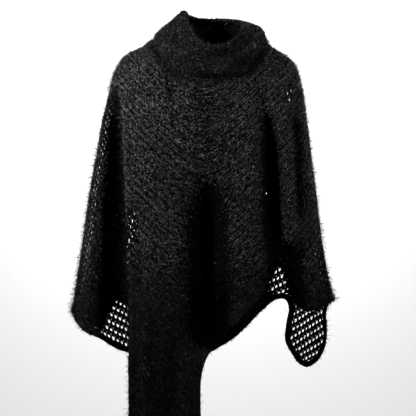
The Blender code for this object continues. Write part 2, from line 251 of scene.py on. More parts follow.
def outward(side, q, z):
    """Unit normal of the skin's outer face, from central differences across and along. At a seam it
    points straight to the side, on the front and the back alike."""
    length = span(z)[2]
    edge = np.abs(q) > length - SEAM_EDGE
    low, high = np.maximum(q - 1, -length), np.minimum(q + 1, length)
    across = skin(side, high, z) - skin(side, low, z)
    share = q / length
    along = skin(side, share * span(z + 1)[2], z + 1) - skin(side, share * span(z - 1)[2], z - 1)
    across[edge] = 0
    across[edge, 1] = -side * np.sign(q[edge])
    n = np.cross(across, along) * -side
    return n / np.maximum(np.linalg.norm(n, axis=1, keepdims=True), 1e-9)


def neck_line(angle):
    """x and height of the neck line; angle 0 is the front and a quarter turn the right side."""
    x = (NECK_LEFT + NECK_RIGHT) / 2 + (NECK_RIGHT - NECK_LEFT) / 2 * np.sin(angle)
    far = np.where(np.cos(angle) > 0, NECK_FRONT_Z, NECK_BACK_Z)
    return x, NECK_SIDE_Z + (far - NECK_SIDE_Z) * np.abs(np.cos(angle))


def through(points, step=3.0):
    """Dense centripetal spline through the points."""
    p = np.vstack([2 * points[0] - points[1], points, 2 * points[-1] - points[-2]])
    out = []
    for i in range(1, len(p) - 2):
        hop = np.linalg.norm(np.diff(p[i - 1:i + 3], axis=0), axis=1) ** 0.5
        t = np.concatenate([[0], np.cumsum(hop)])
        count = max(2, int(np.linalg.norm(p[i + 1] - p[i]) / step) + 1)
        u = np.linspace(t[1], t[2], count, endpoint=False)[:, None]
        a1 = (t[1] - u) / (t[1] - t[0]) * p[i - 1] + (u - t[0]) / (t[1] - t[0]) * p[i]
        a2 = (t[2] - u) / (t[2] - t[1]) * p[i] + (u - t[1]) / (t[2] - t[1]) * p[i + 1]
        a3 = (t[3] - u) / (t[3] - t[2]) * p[i + 1] + (u - t[2]) / (t[3] - t[2]) * p[i + 2]
        b1 = (t[2] - u) / (t[2] - t[0]) * a1 + (u - t[0]) / (t[2] - t[0]) * a2
        b2 = (t[3] - u) / (t[3] - t[1]) * a2 + (u - t[1]) / (t[3] - t[1]) * a3
        out.append((t[2] - u) / (t[2] - t[1]) * b1 + (u - t[1]) / (t[2] - t[1]) * b2)
    out.append(points[-1:])
    return np.vstack(out)


def hem_curve(table):
    """Dense hem line in the flattened skin, from seam to seam."""
    corners = np.array([LEFT_CORNER_Z, RIGHT_CORNER_Z])
    ends = span(corners)[2] * (-1, 1)
    body = np.array(table, float)
    body = np.stack([unroll(body[:, 0], body[:, 1]), body[:, 1]], 1)
    return through(np.vstack([(ends[0], corners[0]), body, (ends[1], corners[1])]))


def panel_outline(side, hem):
    """Closed outline of one body panel in the flattened skin: hem, right seam, neck, left seam."""
    up = np.linspace(0, 1, SEAM_POINTS)[1:, None]
    right_z = (RIGHT_CORNER_Z + (NECK_SIDE_Z - RIGHT_CORNER_Z) * up)[:, 0]
    left_z = (LEFT_CORNER_Z + (NECK_SIDE_Z - LEFT_CORNER_Z) * up)[::-1, 0]
    angle = np.linspace(math.pi / 2, -math.pi / 2, SEAM_POINTS)[1:-1]
    x, z = neck_line(angle if side < 0 else math.pi - angle)
    return np.vstack([
        hem,
        np.stack([span(right_z)[2], right_z], 1),
        np.stack([unroll(x, z), z], 1),
        np.stack([-span(left_z)[2], left_z], 1),
    ])


def inside(points, loop):
    """True where a point is inside the closed loop: an odd number of its edges lie to the right."""
    a, b = loop, np.roll(loop, -1, axis=0)
    rise = np.where(b[:, 1] == a[:, 1], 1e-9, b[:, 1] - a[:, 1])
    found = np.zeros(len(points), bool)
    for start in range(0, len(points), BATCH):
        p = points[start:start + BATCH]
        level = (a[None, :, 1] > p[:, None, 1]) != (b[None, :, 1] > p[:, None, 1])
        cut = (b[:, 0] - a[:, 0]) * (p[:, None, 1] - a[:, 1]) / rise + a[:, 0]
        found[start:start + BATCH] = (level & (p[:, None, 0] < cut)).sum(1) % 2 == 1
    return found


def distance(points, line):
    """Distance of each point to the nearest point of a dense line."""
    out = np.empty(len(points))
    for start in range(0, len(points), BATCH):
        p = points[start:start + BATCH]
        gap = ((p[:, None, :] - line[None, :, :]) ** 2).sum(2)
        out[start:start + BATCH] = np.sqrt(gap.min(1))
    return out


def wander(x, y, seed):
    """Smooth noise from −1 to 1: the mean of four slanted sine waves, each 24 to 70 mm long."""
    r = np.random.default_rng(seed)
    total = np.zeros_like(x)
    for _ in range(4):
        turn, length, shift = r.uniform(0, TURN), r.uniform(24, 70), r.uniform(0, TURN)
        total += np.sin((x * math.cos(turn) + y * math.sin(turn)) * TURN / length + shift)
    return total / 4


def new_piece(name, points, corners, per_face, materials, slots=None, smooth=True):
    """Mesh object from flat arrays: points in millimetres, faces of per_face corners each."""
    mesh = bpy.data.meshes.new(name)
    faces = len(corners) // per_face
    mesh.vertices.add(len(points))
    mesh.vertices.foreach_set("co", (points * MM).astype(np.float32).ravel())
    mesh.loops.add(len(corners))
    mesh.loops.foreach_set("vertex_index", np.asarray(corners, np.int32))
    mesh.polygons.add(faces)
    mesh.polygons.foreach_set("loop_start", np.arange(0, len(corners), per_face, dtype=np.int32))
    for material in materials:
        mesh.materials.append(material)
    if slots is not None:
        mesh.polygons.foreach_set("material_index", np.asarray(slots, np.int32))
    mesh.update(calc_edges=True)
    mesh.polygons.foreach_set("use_smooth", np.full(faces, smooth))
    item = bpy.data.objects.new(name, mesh)
    bpy.context.scene.collection.objects.link(item)
    return item


def note(item, word, values):
    """Keeps a value a point as an attribute of the piece."""
    attribute = item.data.attributes.new(word, "FLOAT", "POINT")
    attribute.data.foreach_set("value", values.astype(np.float32))


def yarn(name, colour, rough, sheen, shine=0.35):
    """Plain yarn: a base colour, a little gloss and a soft sheen at grazing angles."""
    material = bpy.data.materials.new(name)
    material.use_nodes = True
    shader = material.node_tree.nodes["Principled BSDF"]
    shader.inputs["Base Color"].default_value = (*colour, 1)
    shader.inputs["Roughness"].default_value = rough
    shader.inputs["Specular IOR Level"].default_value = shine
    shader.inputs["Sheen Weight"].default_value = sheen
    shader.inputs["Sheen Roughness"].default_value = 0.4
    return material


def arc_shares():
    """Matching shares of the arc and of q round a plain ring, from the middle to a side seam: the
    running sum of the lengths between points of x = 290 sin a, y = 130 cos(a) to the power 0.78."""
    half, depth, count = 290, 130, 600
    a = np.linspace(0, math.pi / 2, count)
    line = np.stack([half * np.sin(a), depth * np.cos(a) ** SQUARENESS], 1)
    run = np.concatenate([[0], np.cumsum(np.linalg.norm(np.diff(line, axis=0), axis=1))])
    return run / run[-1], a * 2 / math.pi


ARC_SHARES = arc_shares()

# The knitting: height of the first row in the middle, how round the V of its rows is, and how far
# they stray
FIRST_ROW_Z, V_ROUND, ROW_STRAY = 260, 40, 1.5


def laid(s, row, knit):
    """Flattened place of the knitting at s along the cloth and at a row: rows fall towards the
    middle as a rounded V, z = top - row * step + slope * (sqrt(s² + 40²) - 40). A place past a side
    seam comes to lie on it."""
    z = FIRST_ROW_Z - row * knit["row"] + knit["slope"] * (np.sqrt(s * s + V_ROUND**2) - V_ROUND)
    z = z + ROW_STRAY * wander(s, row * knit["row"], knit["seed"])
    half, length = span(z)[1:]
    share = np.clip(np.abs(s) / (half * ARC_SHARE), 0, 1)
    return np.sign(s) * np.interp(share, *ARC_SHARES) * length, z


# Corners of a cell as shares of a stitch and of a row. The lower tip and both upper corners are cut
# for the small holes, which lie between three cells; in a shut cell they are all but whole.
CELL = np.array([
    (-0.5, -0.38), (-0.10, -0.55), (0.10, -0.55), (0.5, -0.38), (0.5, 0.25), (0.40, 0.44),
    (0.0, 0.62), (-0.40, 0.44), (-0.5, 0.25),
])
SHUT_CELL = np.array([
    (-0.5, -0.38), (-0.01, -0.62), (0.01, -0.62), (0.5, -0.38), (0.5, 0.37), (0.49, 0.385),
    (0.0, 0.62), (-0.49, 0.385), (-0.5, 0.37),
])

# Painted shade beside the front's hollows, in the same columns as the folds and in place of their
# depth; the holes shrink in these patches too
PAINTED_SHADE_PATCHES = (
    ("elbow", 172, -405, 184, -516, 206, -690, 40, 42, 1.0, -34, 70, 60),
    ("right arm hollow", 133, -130, 150, -260, 164, -470, 12, 30, 1.0, -14, 120, 60),
    ("right arm crease", 202, -120, 214, -229, 222, -430, 10, 14, 1.0, -12, 80, 60),
    ("chest", -14, -60, -4, -150, 4, -260, 32, 36, 1.0, -12, 40, 60),
    ("left of the neck", -82, -44, -84, -80, -88, -150, 62, 50, 1.0, -9, 20, 60),
)

# Painted shade and painted light on the collar's pile: x, height, half-width, half-height, and how
# much darker the pile is painted there, lighter where below 0
COLLAR_PAINTED_SHADE = (
    ("hollow below the rim", 24, -13, 66, 16, 4.5),
    ("right end of the roll", 64, -40, 44, 11, -0.7),
    ("inner right", 68, 48, 20, 22, 4.0),
)

# Depth at which the pile begins to be painted in shade, the further depth over which it does so,
# and the share of it painted in shade at the bottom of a hollow
PAINTED_SHADE_FROM, PAINTED_SHADE_OVER, PAINTED_SHADE_SHARE = 3, 24, 0.95


def open_and_unshaded(side, x, z):
    """How far a place stands out of the folds: 1 on the open cloth and all but 0 at the bottom of a
    hollow, where the knitting is drawn together and the pile is painted in shade."""
    depth = fold_depth(FRONT_FOLDS + PAINTED_SHADE_PATCHES if side < 0 else BACK_FOLDS, x, z)
    return 1 - PAINTED_SHADE_SHARE * ramp(-depth, PAINTED_SHADE_FROM, PAINTED_SHADE_OVER)


def patch(x, z, px, pz, wide, high):
    """Bell round the place px, pz: exp(−distance to the fourth power), in half-sizes."""
    return np.exp(-(((x - px) / wide) ** 2 + ((z - pz) / high) ** 2) ** 2)


def collar_painted_shade(x, z):
    """Painted shade on the collar's pile: twice as dark as the body's all over, and painted darker
    or lighter by a bell for each of its patches."""
    total = np.ones_like(x)
    for _, px, pz, wide, high, change in COLLAR_PAINTED_SHADE:
        total += change * patch(x, z, px, pz, wide, high)
    return 2 * total


# Patches where the cloth hangs taut and its holes are drawn open: x, height, half-width,
# half-height, and the scale of x that puts the back's patch behind the front's
TAUT = (
    (-172, -404, 13, 30, 1.056), (-180, -440, 12, 26, 1.056), (-184, -510, 4, 40, 1.056),
    (199, -90, 5, 22, 1.03), (139, -334, 5, 14, 1.06),
)


def taut(side, x, z):
    """1 in the taut patches and 0 away from them."""
    total = np.zeros_like(x)
    for px, pz, wide, high, behind in TAUT:
        total = np.maximum(total, patch(x, z, px * (behind if side > 0 else 1.0), pz, wide, high))
    return total


# The flank: the share of the half-width at which it starts on the left and on the right, how much
# sooner it starts low down on the right, and the share over which it comes in. Then how far down
# the sooner start and the flank itself begin, each with the length of its change.
FLANK_LEFT, FLANK_RIGHT, FLANK_SOONER, FLANK_OVER = 0.91, 0.945, 0.05, 0.04
FLANK_LOW, FLANK_TOP = (430, 40), (60, 60)

# The ends of the back hem: how far down they begin inside the flap, how much further on the flap
# and on the left, and the length of the change. Then the x of the flap's edge and the distance of
# the ends from the middle, each with the length of its change.
ENDS_TOP, ENDS_FURTHER, ENDS_OVER = 455, 110, 50
FLAP, ENDS_SIDE = (185, 20), (152, 14)

# How far down the tail begins, and the distance of the front's closer knitting from the middle,
# each with the length of its change
TAIL, CHEST = (480, 110), (30, 60)


def flank(x, z):
    """1 along the outer edges, where the cloth turns to the back, and 0 elsewhere."""
    middle, half, _ = span(z)
    start = np.where(x < 0, FLANK_LEFT, FLANK_RIGHT - FLANK_SOONER * ramp(-z, *FLANK_LOW))
    return ramp(np.abs(x - middle) / half, start, FLANK_OVER) * ramp(-z, *FLANK_TOP)


def back_ends(x, z):
    """1 towards the two ends of the back hem, where the front's arches bare it, and 0 elsewhere."""
    top = ENDS_TOP + ENDS_FURTHER * np.where(x < 0, 1, ramp(x, *FLAP))
    return ramp(-z, top, ENDS_OVER) * ramp(np.abs(x), *ENDS_SIDE)


def low_front(z):
    """0 on the upper front and 1 on the tail, where the pile closes the knitting."""
    return ramp(-z, *TAIL)


# Size of the holes. Front: in the middle, added beside it, added on the flank, the share shut on
# the tail, and the share left in the bottom of a hollow. Back: in the middle, added on the flank,
# and at the ends of the hem. Last, in the taut patches of the front and of the back.
FRONT_MIDDLE, FRONT_CHEST, FRONT_FLANK, TAIL_SHUT, HOLLOW_LEFT = 0.78, 0.27, 0.42, 0.985, 0.25
BACK_MIDDLE, BACK_FLANK, BACK_END = 0.12, 1.08, 1.28
TAUT_FRONT, TAUT_BACK = 1.6, 2.1

# Share of the pile that is missing between the taut holes, and at the flanks and the hem's ends
BARE_TAUT, BARE_EDGE = 0.95, 0.75


def openness(side, x, z):
    """Size of the holes, as a scale: the knitting is closer in the front's middle and on the back,
    shut by the pile on the tail, and opens out at the flanks and the ends of the back hem."""
    edge = flank(x, z)
    if side < 0:
        chest = FRONT_CHEST * ramp(np.abs(x), *CHEST)
        size = FRONT_MIDDLE + chest + (FRONT_FLANK - chest) * edge
        size = size * (1 - TAIL_SHUT * low_front(z) * (1 - edge))
        size = size * (HOLLOW_LEFT + (1 - HOLLOW_LEFT) * open_and_unshaded(side, x, z))
    else:
        size = BACK_MIDDLE + BACK_FLANK * edge
        size = size + back_ends(x, z) * (BACK_END - size)
    return size + taut(side, x, z) * ((TAUT_FRONT if side < 0 else TAUT_BACK) - size)


def bare(side, x, z):
    """Share by which the pile is thinner on the strands between large holes."""
    large = np.maximum(BARE_TAUT * taut(side, x, z), BARE_EDGE * flank(x, z))
    return np.maximum(large, BARE_EDGE * back_ends(x, z)) if side > 0 else large


# The net: stitches on each side of the middle, length of all its rows, how far over a seam the
# middle of a cell may lie, in stitches, and the share by which its places are drawn in for the test
# against the outline
SIDE_STITCHES, ROWS_LENGTH, OVER_SEAM, DRAWN_IN = 48, 1900, 0.45, 0.995

# Its cells: size of the hole under which a cell begins to shut and the change over which it does,
# height above a cell's middle from which its corners are seen, and half the widest hole in stitches
SHUT_FROM, SHUT_OVER, EYE_RISE, WIDEST = 0.6, 0.3, 0.2, 0.45

# How much the holes differ, how fast along a row and from row to row, and the seed of that
DIFFER, DIFFER_ALONG, DIFFER_UP, DIFFER_SEED = 0.22, 2.1, 40, 21


def build_net(name, side, hem_table, material, settings, knit):
    """Knitted mesh of one body panel, sunk by the pile's depth. Rows are staggered by half a
    stitch; each cell is a hexagon with cut corners round an oval hole, and quads join its corners
    to the oval. Holes shrink to nothing in the last stitch before a side seam, and a cell that
    would reach over the seam ends on it. Each point keeps its place along the cloth and its row."""
    hem = hem_curve(hem_table)
    loop = panel_outline(side, hem)
    stitch = settings.stitch
    across = np.arange(-SIDE_STITCHES, SIDE_STITCHES + 1)
    i, j = np.meshgrid(across, np.arange(0, int(ROWS_LENGTH / knit["row"])), indexing="ij")
    i, j = i.ravel().astype(float), j.ravel().astype(float)
    s = (i + 0.5 * (j % 2)) * stitch
    q, z = laid(s, j, knit)
    at = np.stack([DRAWN_IN * q, z], 1)
    to_seam = span(z)[1] * ARC_SHARE - np.abs(s)
    keep = inside(at, loop) & (to_seam > -OVER_SEAM * stitch)
    keep &= distance(at, hem) > settings.hem_margin
    closing = np.clip(to_seam[keep] / stitch, 0, 1)[:, None]
    s, j = s[keep][:, None], j[keep][:, None]
    n = len(CELL)
    q, z = laid(s, j, knit)
    x = skin(side, q, z)[..., 0]
    size = openness(side, x, z) * closing
    shut = smooth_step((SHUT_FROM - size) / SHUT_OVER)[..., None]
    cell = CELL + (SHUT_CELL - CELL) * shut
    at_s, at_row = s + cell[..., 0] * stitch, j - cell[..., 1]
    outer = np.stack(laid(at_s, at_row, knit), -1)
    angle = np.arctan2(CELL[:, 1] * knit["row"] - EYE_RISE, CELL[:, 0] * stitch)
    grow = settings.hole_size * size
    grow = grow * (1 + DIFFER * wander(s * DIFFER_ALONG, j * DIFFER_UP, DIFFER_SEED + side))
    hole_s = s + np.cos(angle) * np.minimum(settings.hole_wide * grow, WIDEST * stitch)
    hole_row = j - np.sin(angle) * settings.hole_long * grow / knit["row"]
    hole = np.stack(laid(hole_s, hole_row, knit), -1)
    rings = []
    for ring_points, lift in ((outer, settings.strand_lift), (hole, -settings.strand_lift)):
        q, z = ring_points.reshape(-1, 2).T
        q = np.clip(q, -span(z)[2], span(z)[2])
        rings.append(skin(side, q, z) + outward(side, q, z) * (lift - settings.pile_depth))
    count = len(s) * n
    first = (np.arange(len(s)) * n)[:, None]
    k, m = np.arange(n)[None, :], (np.arange(n)[None, :] + 1) % n
    quads = np.stack([first + k, first + m, first + m + count, first + k + count], -1)
    quads = quads.reshape(-1, 4)
    if side > 0:
        quads = quads[:, ::-1]
    net = new_piece(name, np.vstack(rings), quads.ravel(), 4, [material])
    note(net, "along", np.concatenate([at_s.ravel(), hole_s.ravel()]))
    note(net, "row", np.concatenate([at_row.ravel(), hole_row.ravel()]))
    return net


# The bands: points across, height of the edges, rise of the arch, height and length of the ribs,
# share of the pile's depth by which the band is sunk, and the thickness in metres
BAND_POINTS, BAND_EDGE, BAND_ARCH, BAND_RIB, BAND_RIB_LENGTH = 6, 0.4, 1.3, 0.35, 4.4
BAND_SUNK, BAND_THICK = 0.6, 0.0022


def build_band(name, side, hem_table, material, settings):
    """Plain knitted band along a hem: a strip from the hem line inwards, its cross-section a low
    arch one band wide, ribbed by a small sine along its length. Its points keep rows that all lie
    between two rows of holes, so the pile grows all over it."""
    hem = hem_curve(hem_table)
    run = np.concatenate([[0], np.cumsum(np.linalg.norm(np.diff(hem, axis=0), axis=1))])
    at = np.linspace(0, run[-1], int(run[-1] / settings.band_step))
    line = np.stack([np.interp(at, run, hem[:, 0]), np.interp(at, run, hem[:, 1])], 1)
    tangent = np.gradient(line, axis=0)
    tangent /= np.linalg.norm(tangent, axis=1, keepdims=True)
    inward = np.stack([-tangent[:, 1], tangent[:, 0]], 1)
    shares = np.linspace(0, 1, BAND_POINTS)
    q = line[:, None, 0] + inward[:, None, 0] * shares * settings.band_width
    z = line[:, None, 1] + inward[:, None, 1] * shares * settings.band_width
    q = np.clip(q, -span(z)[2], span(z)[2])
    rib = BAND_RIB * np.sin(at / BAND_RIB_LENGTH * TURN)
    arch = BAND_EDGE + BAND_ARCH * np.sin(shares * math.pi)[None, :] + rib[:, None]
    q, z, arch = q.ravel(), z.ravel(), arch.reshape(-1, 1)
    points = skin(side, q, z) + outward(side, q, z) * (arch - BAND_SUNK * settings.pile_depth)
    r, c = np.meshgrid(np.arange(len(at) - 1), np.arange(BAND_POINTS - 1), indexing="ij")
    first = (r * BAND_POINTS + c).ravel()
    quads = np.stack([first, first + BAND_POINTS, first + BAND_POINTS + 1, first + 1], 1)
    if side > 0:
        quads = quads[:, ::-1]
    band = new_piece(name, points, quads.ravel(), 4, [material])
    note(band, "along", np.repeat(at, BAND_POINTS))
    note(band, "row", np.tile(0.4 + 0.2 * shares, len(at)))
    solid = band.modifiers.new("thickness", "SOLIDIFY")
    solid.thickness, solid.offset = BAND_THICK, -1.0
    return band


def collar_grid(rows, columns):
    """Points and outward normals of the collar: the first two rings are its foot, tucked under the
    body's knitting, and the neck line; each further one is an oval through its left, right, front
    and back points. Smooth curves up the tube join them."""
    angle = np.arange(columns) * 2 * math.pi / columns
    front = (np.cos(angle) > 1e-9)[:, None]
    swing, reach = np.sin(angle), np.cos(angle)
    x, z = neck_line(angle)
    wider = span(np.array([NECK_SIDE_Z - FOOT]))[1] - span(np.array([NECK_SIDE_Z]))[1]
    rings = []
    for x, z, sunk in ((x + wider * swing, z - FOOT, FOOT_DEPTH), (x, z, 0.0)):
        q = unroll(x, z)
        rings.append(np.where(
            front,
            skin(-1, q, z) - outward(-1, q, z) * sunk,
            skin(1, q, z) - outward(1, q, z) * sunk,
        ))
    for left, left_z, right, right_z, fore, fore_z, aft, aft_z in COLLAR_RINGS:
        px = (left + right) / 2 + (right - left) / 2 * swing
        side_z = left_z + (right_z - left_z) * (1 + swing) / 2
        far, far_z = np.where(reach > 0, fore, aft), np.where(reach > 0, fore_z, aft_z)
        py = COLLAR_SIDE_Y + (far - COLLAR_SIDE_Y) * np.abs(reach)
        pz = side_z + (far_z - side_z) * np.abs(reach) ** COLLAR_DIP
        rings.append(np.stack([px, py, pz], 1))
    rings = np.array(rings)
    knots = np.arange(len(rings), dtype=float)
    at = np.linspace(0, len(rings) - 1, rows)
    flat = rings.reshape(len(rings), -1)
    grid = np.stack([curve_at(at, knots, flat[:, k]) for k in range(flat.shape[1])], 1)
    grid = grid.reshape(rows, columns, 3)
    across = np.roll(grid, -1, axis=1) - np.roll(grid, 1, axis=1)
    normal = np.cross(across, np.gradient(grid, axis=0))
    normal /= np.linalg.norm(normal, axis=2, keepdims=True)
    return grid, normal


def build_collar(name, material, settings):
    """Close-knit collar tube, ribbed up and round by small sines, and given its thickness."""
    rows, columns = settings.collar_rows, settings.collar_columns
    grid, normal = collar_grid(rows, columns)
    r, c = np.meshgrid(np.arange(rows), np.arange(columns), indexing="ij")
    shift = (r // RIB_ROWS) * TURN / 2
    rib = RIB * np.sin(r * TURN / RIB_ROWS) * np.sin(c * TURN / RIB_COLUMNS + shift)
    grid = grid + normal * rib[..., None]
    r, c = r[:-1].ravel() * columns, c[:-1].ravel()
    d = (c + 1) % columns
    quads = np.stack([r + c, r + d, r + columns + d, r + columns + c], 1)
    collar = new_piece(name, grid.reshape(-1, 3), quads.ravel(), 4, [material])
    solid = collar.modifiers.new("thickness", "SOLIDIFY")
    solid.thickness, solid.offset = COLLAR_THICK, 0.0
    return collar


def blades(root, normal, way, length, width, lift, kind, r):
    """Bent blades, widest in the middle: from each root a stalk leaves at its own angle from the
    cloth, its outer half turns by a random bend and a droop, and two triangles cover it."""
    n = len(root)
    side = way + r.normal(size=(n, 3)) * kind["stray"]
    side -= normal * (side * normal).sum(1, keepdims=True)
    side /= np.linalg.norm(side, axis=1, keepdims=True)
    start = normal * np.sin(lift)[:, None] + side * np.cos(lift)[:, None]
    bend = r.normal(size=(n, 3)) * kind["bend"]
    bend[:, 2] -= kind["droop"]
    end = start + bend
    end /= np.linalg.norm(end, axis=1, keepdims=True)
    roll = r.normal(size=(n, 3))
    flat = np.cross(start, roll)
    flat /= np.linalg.norm(flat, axis=1, keepdims=True)
    half = (width / 2)[:, None]
    mid = root + start * (length * 0.5)[:, None]
    tip = mid + end * (length * 0.5)[:, None]
    points = np.stack([root, mid - flat * half, mid + flat * half, tip], 1)
    first = (np.arange(n) * 4)[:, None]
    corners = np.array([0, 1, 2, 1, 3, 2])[None, :]
    return points.reshape(-1, 3), (first + corners).ravel()


def surface(item):
    """Points in millimetres and quads of a piece, before its thickness."""
    mesh = item.data
    points = np.empty(len(mesh.vertices) * 3, np.float32)
    mesh.vertices.foreach_get("co", points)
    quads = np.empty(len(mesh.loops), np.int32)
    mesh.loops.foreach_get("vertex_index", quads)
    return points.reshape(-1, 3).astype(float) / MM, quads.reshape(-1, 4)


def read(item, word):
    """Values of one of the piece's attributes, a value a point."""
    values = np.empty(len(item.data.vertices), np.float32)
    item.data.attributes[word].data.foreach_get("value", values)
    return values.astype(float)


# How far from a row of holes a strand begins, in rows, the further change over which it does, and
# the chance of a root off the strands against one on them
STRAND_FROM, STRAND_OVER, OFF_STRAND = 0.2, 0.2, 0.06


def seed(item, count, r):
    """Places spread over the piece's quads, with the unit normals and a way to lie there. On a net
    most places are on the strands between two rows of holes, fewer where the holes are large, and
    on the tail they are anywhere. The way runs along the row: the place's change with the stitches,
    at a fixed row, from the spread of both over the quad."""
    points, quads = surface(item)
    corner = points[quads]
    normal = np.cross(corner[:, 2] - corner[:, 0], corner[:, 3] - corner[:, 1])
    area = np.linalg.norm(normal, axis=1)
    chance = area.copy()
    way = np.zeros((len(quads), 3))
    if item.data.attributes.get("row"):
        along, row = (read(item, word)[quads] for word in ("along", "row"))
        middle = row.mean(1)
        strand = ramp(np.abs(middle - np.round(middle)), STRAND_FROM, STRAND_OVER)
        x, _, z = corner.mean(1).T
        side = -1 if item.name.startswith("front") else 1
        spread = np.maximum(strand, low_front(z)) if side < 0 else strand
        chance *= (OFF_STRAND + (1 - OFF_STRAND) * spread) * (1 - bare(side, x, z))
        a, b = along - along.mean(1, keepdims=True), row - middle[:, None]
        by_a, by_b = ((corner * k[:, :, None]).sum(1) for k in (a, b))
        way = by_a * (b * b).sum(1)[:, None] - by_b * (a * b).sum(1)[:, None]
    pick = r.choice(len(quads), count, p=chance / chance.sum())
    u, v = r.random((2, count, 1))
    corner = corner[pick]
    low = corner[:, 0] * (1 - u) + corner[:, 1] * u
    high = corner[:, 3] * (1 - u) + corner[:, 2] * u
    way = way[pick] * np.where(r.random((count, 1)) < 0.5, -1.0, 1.0)
    way /= np.maximum(np.linalg.norm(way, axis=1, keepdims=True), 1e-9)
    return low * (1 - v) + high * v, normal[pick] / area[pick, None], way


# Painted shade: how much darker the pile is painted towards the front's tail, as a share added to
# each draw
TAIL_PAINTED_SHADE = 2.3


def pile(name, ground, count, kind, inner, r):
    """Blades of one kind rooted in a piece, a share of them on its inner face, in mixed shades: the
    lower a blade's draw, the lighter it is. Shade is painted in: the front's draws grow towards the
    tail, the collar's by its patches, and in the body's folds most blades take the darkest
    material."""
    root, normal, way = seed(ground, count, r)
    face = np.where(r.random(count) < inner, -1.0, 1.0)[:, None]
    normal = normal * face
    root = root + normal * kind["rise"] * (face > 0)
    short, long = kind["length"]
    length = short + (long - short) * r.random(count) ** kind["few_long"]
    length *= 1 + kind["side"] * np.abs(normal[:, 0]) ** 3
    width = r.uniform(*kind["width"], count)
    lift = np.radians(r.uniform(*kind["lift"], count))
    points, corners = blades(root, normal, way, length, width, lift, kind, r)
    draw = r.random(count)
    x, _, z = root.T
    # Painted shade: the front's pile darker towards the tail, the collar's by its own patches
    if name.startswith("front"):
        draw *= 1 + TAIL_PAINTED_SHADE * low_front(z)
    elif name.startswith("collar"):
        draw *= collar_painted_shade(x, z)
    shade = (draw[:, None] < kind["mix"]).sum(1) + 1
    # Painted shade: in the folds and the shaded patches most blades take the material of painted
    # shade
    if not name.startswith("collar"):
        out = open_and_unshaded(-1 if name.startswith("front") else 1, x, z)
        shade[r.random(count) > out] = 0
    shade = np.repeat(shade, 2)
    return new_piece(name, points, corners, 3, kind["shades"], shade, smooth=False)


class PonchoSettings(bpy.types.PropertyGroup):
    """Sizes of the knitting and of the pile, in millimetres, and the yarn's colours."""

    stitch: bpy.props.FloatProperty(
        name="Stitch", default=9.5, min=4, max=30,
        description="Width of a stitch along its row, mm")
    front_row: bpy.props.FloatProperty(
        name="Front row", default=19.0, min=8, max=40,
        description="Height of a row of the front, mm")
    front_slope: bpy.props.FloatProperty(
        name="Front slope", default=1.0,
        description="Rise of the front's rows away from the middle")
    back_row: bpy.props.FloatProperty(
        name="Back row", default=18.4, min=8, max=40,
        description="Height of a row of the back, mm")
    back_slope: bpy.props.FloatProperty(
        name="Back slope", default=0.6,
        description="Rise of the back's rows away from the middle")
    hole_wide: bpy.props.FloatProperty(
        name="Hole half-width", default=3.4, min=0.5, max=5,
        description="Half the width of a hole, mm")
    hole_long: bpy.props.FloatProperty(
        name="Hole half-length", default=3.0, min=0.5, max=8,
        description="Half the length of a hole, mm")
    hole_size: bpy.props.FloatProperty(
        name="Hole size", default=1.0, min=0.3, max=1.5,
        description="Scale of all holes")
    strand_lift: bpy.props.FloatProperty(
        name="Strand lift", default=1.0, min=0, max=3,
        description="Rise of the yarn between holes, mm")
    pile_depth: bpy.props.FloatProperty(
        name="Pile depth", default=2.8, min=0, max=6,
        description="How far the knitting lies below the pile's face, mm")
    hem_margin: bpy.props.FloatProperty(
        name="Hem margin", default=6.0, min=0, max=20,
        description="Distance of the last holes from the hem, mm")
    band_width: bpy.props.FloatProperty(
        name="Band width", default=12.5, min=4, max=30,
        description="Width of the hem band, mm")
    band_step: bpy.props.FloatProperty(
        name="Band step", default=2.2, min=1, max=10,
        description="Length of a band segment, mm")
    collar_rows: bpy.props.IntProperty(
        name="Collar rows", default=61, min=12, max=120,
        description="Rings up the collar")
    collar_columns: bpy.props.IntProperty(
        name="Collar columns", default=180, min=24, max=400,
        description="Points round the collar")
    yarn_core: bpy.props.FloatVectorProperty(
        name="Core", subtype="COLOR", min=0, max=1, default=(0.0018, 0.0018, 0.0020),
        description="Colour of the knitted yarn under the pile")
    # Painted shade: the near-black colour given to the pile in the folds and the shaded patches
    tuft_deep: bpy.props.FloatVectorProperty(
        name="Deep tufts", subtype="COLOR", min=0, max=1, default=(0.0010, 0.0010, 0.0011),
        description="Colour of the pile that lies flat in the folds")
    tuft_black: bpy.props.FloatVectorProperty(
        name="Black tufts", subtype="COLOR", min=0, max=1, default=(0.007, 0.007, 0.0073),
        description="Colour of the darkest tufts on the open cloth")
    tuft_soot: bpy.props.FloatVectorProperty(
        name="Soot tufts", subtype="COLOR", min=0, max=1, default=(0.022, 0.022, 0.023),
        description="Colour of most tufts")
    tuft_grey: bpy.props.FloatVectorProperty(
        name="Grey tufts", subtype="COLOR", min=0, max=1, default=(0.038, 0.038, 0.040),
        description="Colour of the few lightest tufts")
    hair_black: bpy.props.FloatVectorProperty(
        name="Black hairs", subtype="COLOR", min=0, max=1, default=(0.007, 0.007, 0.0075),
        description="Colour of most hairs")
    hair_soot: bpy.props.FloatVectorProperty(
        name="Soot hairs", subtype="COLOR", min=0, max=1, default=(0.030, 0.030, 0.031),
        description="Colour of the few lighter hairs")
    seed: bpy.props.IntProperty(name="Seed", description="Seed of the pile", default=11)


# Pile of each piece: tufts, hairs, share on the inner face
PILE = {
    "front_net": (97000, 75000, 0.15),
    "back_net": (78000, 46000, 0.2),
    "front_band": (15000, 6000, 0.3),
    "back_band": (10000, 4000, 0.4),
    "collar_knit": (40000, 18000, 0.25),
}

